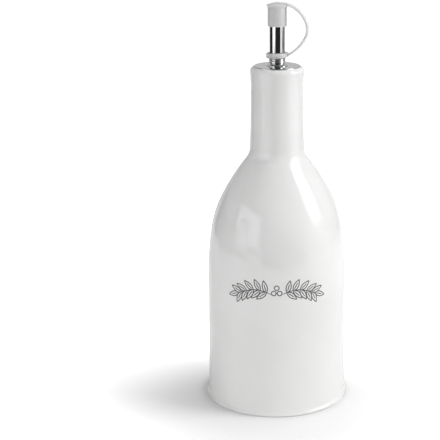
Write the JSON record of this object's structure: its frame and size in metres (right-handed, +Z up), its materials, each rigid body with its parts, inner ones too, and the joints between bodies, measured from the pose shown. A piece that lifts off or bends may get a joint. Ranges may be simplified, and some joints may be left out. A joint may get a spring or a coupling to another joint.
{
  "type": "ceramic vinegar bottle",
  "caption": "Tall glazed ceramic bottle with a slim neck, closed by a chrome pourer with a soft cap on a looped strap.",
  "frame": {"origin": "on the bottle's axis, at the middle of the plane that it stands on", "axes": "+Z up along the bottle's axis; the front faces -Y; the strap of the cap is on the +X side, turned 15 degrees towards the front"},
  "size_m": [0.086, 0.086, 0.24],
  "materials": {
    "glaze": "gloss white glaze",
    "chrome_plate": "polished",
    "chrome_spout": "polished",
    "soft_cap": "matt white silicone"
  },
  "bodies": {
    "root": {"bottle": "glaze", "top_plate": "chrome_plate", "spout": "chrome_spout", "cap": "soft_cap"}
  },
  "joints": []
}
